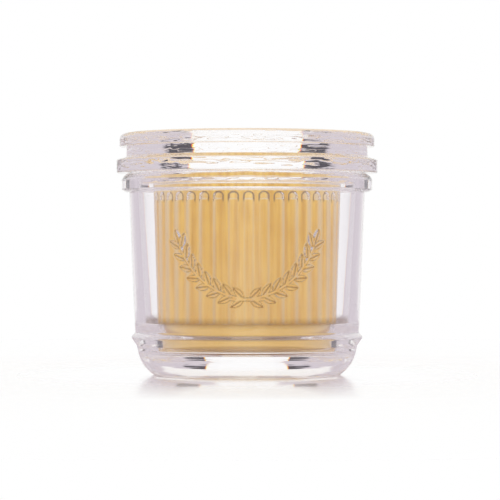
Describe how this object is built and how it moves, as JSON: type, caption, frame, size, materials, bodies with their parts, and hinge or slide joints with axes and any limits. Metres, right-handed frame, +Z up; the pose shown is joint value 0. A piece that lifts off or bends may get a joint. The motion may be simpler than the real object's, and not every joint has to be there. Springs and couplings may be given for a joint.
{
  "type": "butter crock",
  "caption": "Round pressed glass jar with a solid glass lid whose hanging fluted cup, packed with butter, dips into the jar.",
  "frame": {"origin": "centre of the circle that the jar's foot stands on", "axes": "+Z up, along the axis of the jar, the lid and the cup; the front faces -Y"},
  "size_m": [0.115, 0.115, 0.1062],
  "materials": {
    "jar_glass": "clear pressed glass, fire polished",
    "bell_glass": "clear pressed glass, fire polished",
    "butter": "soft, slightly waxy, pressed smooth against the glass"
  },
  "bodies": {
    "jar": {"jar": "jar_glass"},
    "lid": {"bell": "bell_glass", "butter": "butter"}
  },
  "joints": [
    {"name": "lid_lift", "type": "slide", "parent": "jar", "child": "lid", "axis": [0, 0, 1], "range_m": [0, 0.085]}
  ]
}
